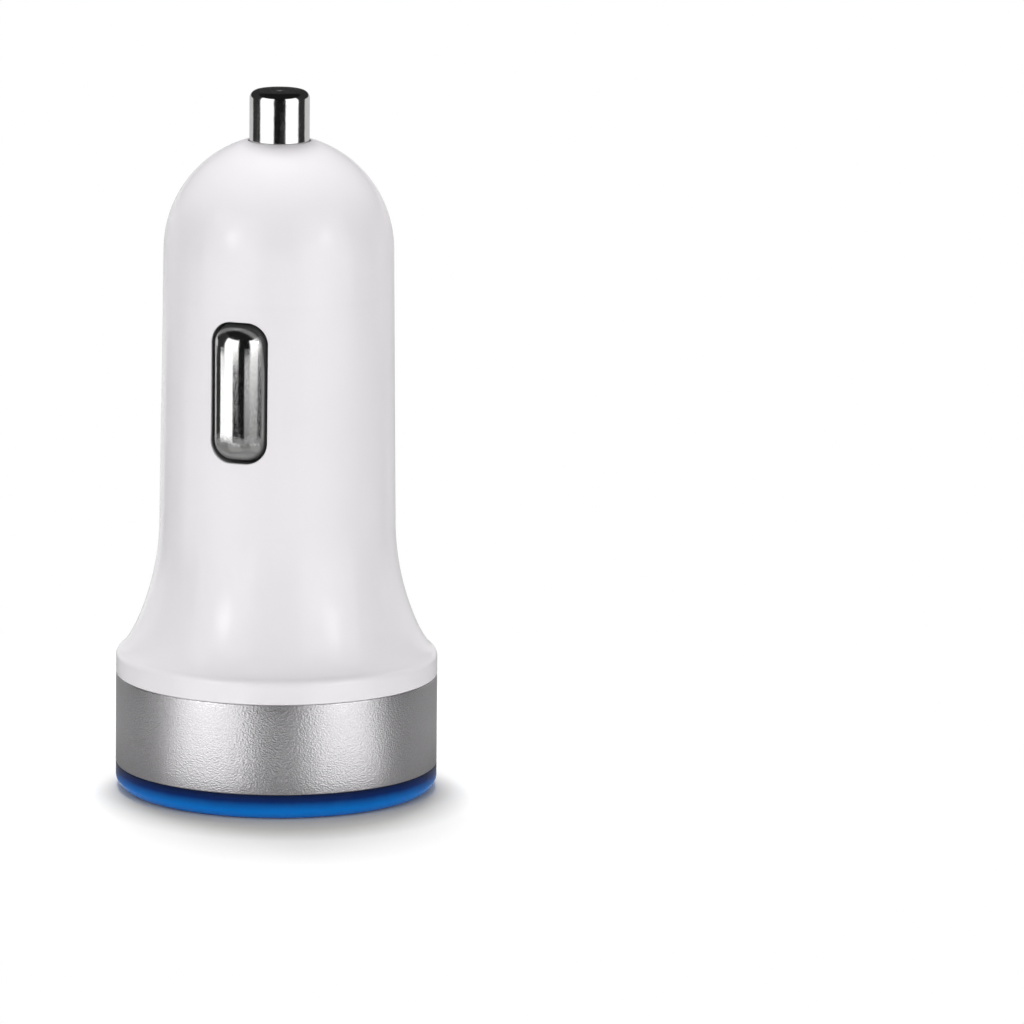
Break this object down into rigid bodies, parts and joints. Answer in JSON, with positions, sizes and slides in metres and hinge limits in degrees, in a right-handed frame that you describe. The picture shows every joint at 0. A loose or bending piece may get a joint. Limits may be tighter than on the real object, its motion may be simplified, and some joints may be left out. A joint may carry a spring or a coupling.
{
  "type": "car usb charger plug",
  "caption": "Round white USB charger plug for a car's 12 V socket, with a sprung tip, sprung side contacts, an aluminium trim ring and a blue light ring round stacked USB ports.",
  "frame": {"origin": "centre of the plug's face, on the plane of the light ring's crest that it stands on", "axes": "+Z runs along the plug from its face to its sprung tip; +X points to the upper port and to the tongues' side of both ports; the side contacts are at -Y and +Y"},
  "size_m": [0.0286, 0.0284, 0.0625],
  "materials": {
    "white_housing": "glossy moulded white plastic",
    "white_face": "satin moulded white plastic",
    "blue_light": "glossy translucent blue plastic",
    "blasted_aluminium": "fine sandblasted and clear anodised",
    "plated_contact": "bright nickel plate",
    "socket_steel": "folded plated steel",
    "black_insulator": "moulded black plastic",
    "gold_plate": "gold-plated",
    "circuit_board": "green solder mask on glass epoxy",
    "lamp": "white surface lamp",
    "ferrite": "dark grey ferrite",
    "copper_wire": "enamelled copper wire",
    "can_sleeve": "dark sleeve on an aluminium can",
    "chip_black": "moulded epoxy",
    "tinned_lead": "tin-plated",
    "small_ceramic": "fired ceramic",
    "fuse_ceramic": "pale ceramic",
    "terminal_brass": "stamped brass",
    "spring_steel": "drawn spring wire and strip"
  },
  "bodies": {
    "root": {"housing": "white_housing", "trim_ring": "blasted_aluminium", "light_ring": "blue_light", "face_plate": "white_face", "upper_socket_shell": "socket_steel", "upper_socket_tongue": "black_insulator", "upper_socket_contacts": "gold_plate", "lower_socket_shell": "socket_steel", "lower_socket_tongue": "black_insulator", "lower_socket_contacts": "gold_plate", "port_board": "circuit_board", "power_board": "circuit_board", "board_pins": "gold_plate", "ring_lamps": "lamp", "inductor_core": "ferrite", "inductor_winding": "copper_wire", "input_capacitor": "can_sleeve", "output_capacitor": "can_sleeve", "converter_chip": "chip_black", "chip_leads": "tinned_lead", "rectifier_diode": "chip_black", "chip_components": "small_ceramic", "board_fuse": "fuse_ceramic", "positive_terminal": "terminal_brass", "tip_spring": "spring_steel", "front_leaf_spring": "spring_steel", "back_leaf_spring": "spring_steel"},
    "tip": {"tip_contact": "plated_contact"},
    "front_contact": {"front_side_contact": "plated_contact"},
    "back_contact": {"back_side_contact": "plated_contact"}
  },
  "joints": [
    {"name": "tip_press", "type": "slide", "parent": "root", "child": "tip", "axis": [0, 0, 1], "range_m": [-0.003, 0], "stiffness_N_per_m": 1500, "springref_m": 0.002, "deforming": ["tip_spring"]},
    {"name": "front_contact_press", "type": "slide", "parent": "root", "child": "front_contact", "axis": [0, -1, 0], "range_m": [-0.001, 0], "stiffness_N_per_m": 3000, "springref_m": 0.0005, "deforming": ["front_leaf_spring"]},
    {"name": "back_contact_press", "type": "slide", "parent": "root", "child": "back_contact", "axis": [0, 1, 0], "range_m": [-0.001, 0], "stiffness_N_per_m": 3000, "springref_m": 0.0005, "deforming": ["back_leaf_spring"]}
  ]
}
